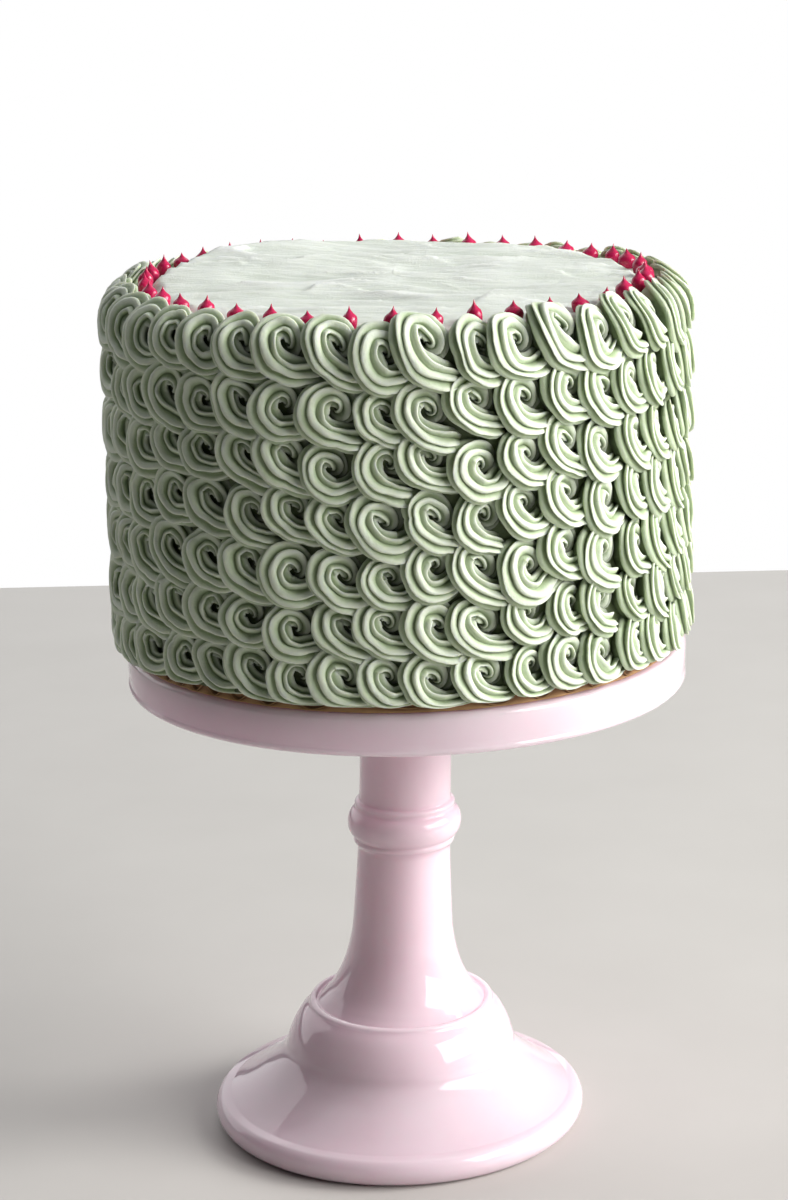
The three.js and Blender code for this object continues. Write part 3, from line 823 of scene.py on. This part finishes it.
def make_row(row, material):
    """One row of swirls round the cake, as one piece."""
    n = np.arange(COLUMNS) * ROWS + row
    top_row = row == ROWS - 1
    section = rope_section()
    sides = len(section[0])

    # The rope's middle line in each swirl's own frame: across, up and out.
    turn = np.tile(coil_turns(), (COLUMNS, 1))
    kinks = coil_kinks(turn, n)
    size = SWIRL_SIZE + vary(n, "size")
    thick = along_coil(turn, "thick") * size * (1 + vary(n, "thick")) + kinks / 2
    reach = along_coil(turn, "reach") * size + kinks / 2
    direction = np.radians(turn + vary(n, "direction"))
    across = SWIRL_WIDTH * reach * np.cos(direction) + PIT_RIGHT + vary(n, "across")
    up = SWIRL_HEIGHT * reach * np.sin(direction) + PIT_UP + vary(n, "up")
    out = along_coil(turn, "out") * (1 + vary(n, "out")) - TILT_RIGHT * across - TILT_UP * up
    across -= SLANT * (1 + vary(n, "slant")) * up
    middle = np.stack([across, up, out], -1)

    # The rope round that line. Both ends close on a point, the tail a little drawn out.
    along, outward, over = rope_frames(middle, direction)
    wide, tall = rope_offsets(n, turn, thick, section)
    rope = (middle[:, :, None, :] + wide[..., None] * outward[:, :, None, :]
            + tall[..., None] * over[:, :, None, :])
    tips = middle[:, [0, -1]] + along[:, [0, -1]] * np.reshape(TIPS, (1, 2, 1))
    local = np.concatenate([rope.reshape(COLUMNS, -1, 3), tips], 1)
    if top_row:
        local[..., 2] *= 1 - TOP_ROW_DROOP * smooth(local[..., 1] / DROOP_HEIGHT)
    local[..., 2] = held_below(local[..., 2], OUTERMOST)

    # How far the icing is out in the light, painted into its colour as shade: least deep down, in the pit
    # and low on the rope's flanks.
    flank = light_rise((rope[..., 2] - middle[:, :, None, 2]) / thick[..., None], "flank")
    flank = np.concatenate([flank.reshape(COLUMNS, -1), np.ones((COLUMNS, 2))], 1)
    pit = 1 - PIT_SHADE + PIT_SHADE * np.repeat(light_rise(turn[0], "pit"), sides)
    pit = np.concatenate([pit, [1 - PIT_SHADE, 1]])
    depth = light_rise(local[..., 2], "out") * (1 - FLANK_SHADE + FLANK_SHADE * flank) * pit
    if top_row:
        depth += (1 - depth) * light_rise(local[..., 1], "open")

    relief = np.tile(np.concatenate([np.tile(section[2], STEPS), [0.6, 0.6]]), (COLUMNS, 1))
    count = STEPS * sides + 2
    tone = np.repeat(0.5 + 0.5 * uneven(n, TONE_KIND), count)
    first = (np.arange(COLUMNS) * count)[:, None, None]
    faces = [(f + first).reshape(-1, f.shape[1]) for f in tube_faces(STEPS, sides)]
    points = laid_on_cake(local, row).reshape(-1, 3)
    return make_piece(f"swirls_row_{row + 1}", points, faces, material, ["cake"],
                      {"relief": relief, "tone": tone, "depth": depth})


# The drops

def make_drop(index, material):
    """An icing drop: a round belly with a soft twist, drawn out into a leaning tip."""
    name = f"drop_{index + 1:02d}"
    low, high = node_box(name)
    centre = (low + high) / 2
    height = high[2] - low[2]
    radius = DROP_WIDTH * (high[0] - low[0] + high[1] - low[1]) / 4
    belly = [(max(DROP_POINT, r) * radius, z * height) for r, z in flow(DROP_OUTLINE, 3)[1:-1]]
    points, faces = lathe([(0, -DROP_SET * height), *belly, (0, height)], DROP_SIDES)
    level = points[:, 2] / height
    turn = np.arctan2(points[:, 1], points[:, 0])
    twist = np.sin(3 * turn + 5 * level + 3 * uneven(index, DROP_TWIST_KIND))
    points[:, :2] *= (1 + DROP_TWIST * twist * np.clip(level * 2, 0, 1))[:, None]
    lean = DROP_LEAN * np.clip(level, 0, 1) ** 2
    for axis, kind in enumerate(DROP_LEAN_KINDS):
        points[:, axis] += lean * uneven(index, kind) + centre[axis]
    points[:, 2] += low[2]
    return make_piece(f"icing_{name}", points, faces, material, [name])


# The studio

def make_light(name, place, target, width, height, power, colour):
    """A rectangular light that faces its target."""
    data = bpy.data.lights.new(name, "AREA")
    data.shape = "RECTANGLE"
    data.size, data.size_y = width, height
    data.energy = power
    data.color = colour
    light = bpy.data.objects.new(name, data)
    bpy.context.scene.collection.objects.link(light)
    light.location = place
    light.rotation_euler = (Vector(target) - Vector(place)).to_track_quat("-Z", "Y").to_euler()


def make_floor():
    """The grey table, which ends behind the cake."""
    mesh = bpy.data.meshes.new("table_top")
    left, right, front = -TABLE_REACH, TABLE_REACH, -TABLE_REACH
    corners = [(left, front, 0), (right, front, 0), (right, TABLE_END, 0), (left, TABLE_END, 0)]
    mesh.from_pydata(corners, [], [(0, 1, 2, 3)])
    s = Shader("table_grey")
    colour = s.mix(s.noise(size=90, detail=3), (0.525, 0.508, 0.482), (0.58, 0.563, 0.537))
    s.link(colour, s.bsdf.inputs["Base Color"])
    s.set(Roughness=0.6)
    mesh.materials.append(s.material)
    floor = bpy.data.objects.new("table_top", mesh)
    bpy.context.scene.collection.objects.link(floor)


def make_world():
    """A faint light from all round the set, and a white wall behind it for the camera."""
    world = bpy.data.worlds.new("studio")
    bpy.context.scene.world = world
    world.use_nodes = True
    tree = world.node_tree
    around = tree.nodes["Background"]
    around.inputs["Color"].default_value = (0.95, 0.97, 1.0, 1)
    around.inputs["Strength"].default_value = WORLD_LIGHT
    wall = tree.nodes.new("ShaderNodeBackground")
    wall.inputs["Color"].default_value = (1, 1, 1, 1)
    wall.inputs["Strength"].default_value = 1.0
    path = tree.nodes.new("ShaderNodeLightPath")
    both = tree.nodes.new("ShaderNodeMixShader")
    tree.links.new(path.outputs["Is Camera Ray"], both.inputs[0])
    tree.links.new(around.outputs[0], both.inputs[1])
    tree.links.new(wall.outputs[0], both.inputs[2])
    tree.links.new(both.outputs[0], tree.nodes["World Output"].inputs["Surface"])


def make_camera():
    """The photo's camera: a frame of 1200 rows, at a focal length of 3044 of them."""
    data = bpy.data.cameras.new("camera")
    data.sensor_fit = "VERTICAL"
    data.sensor_height = SENSOR_HEIGHT
    data.lens = FOCAL_ROWS / FRAME_ROWS * SENSOR_HEIGHT
    camera = bpy.data.objects.new("camera", data)
    bpy.context.scene.collection.objects.link(camera)
    pitch = Matrix.Rotation(math.pi / 2 - CAMERA_PITCH, 4, "X")
    camera.matrix_world = Matrix.Translation(CAMERA_PLACE) @ pitch @ Matrix.Rotation(CAMERA_ROLL, 4, "Z")
    bpy.context.scene.camera = camera


make_stand()
make_card()
make_core()
sage = icing_material()
for row in range(ROWS):
    make_row(row, sage)
raspberry = drop_material()
for index in range(COLUMNS):
    make_drop(index, raspberry)

make_floor()
make_world()
for name, light in LIGHTS.items():
    make_light(name, *light)
make_camera()
bpy.context.scene.view_settings.view_transform = "Standard"
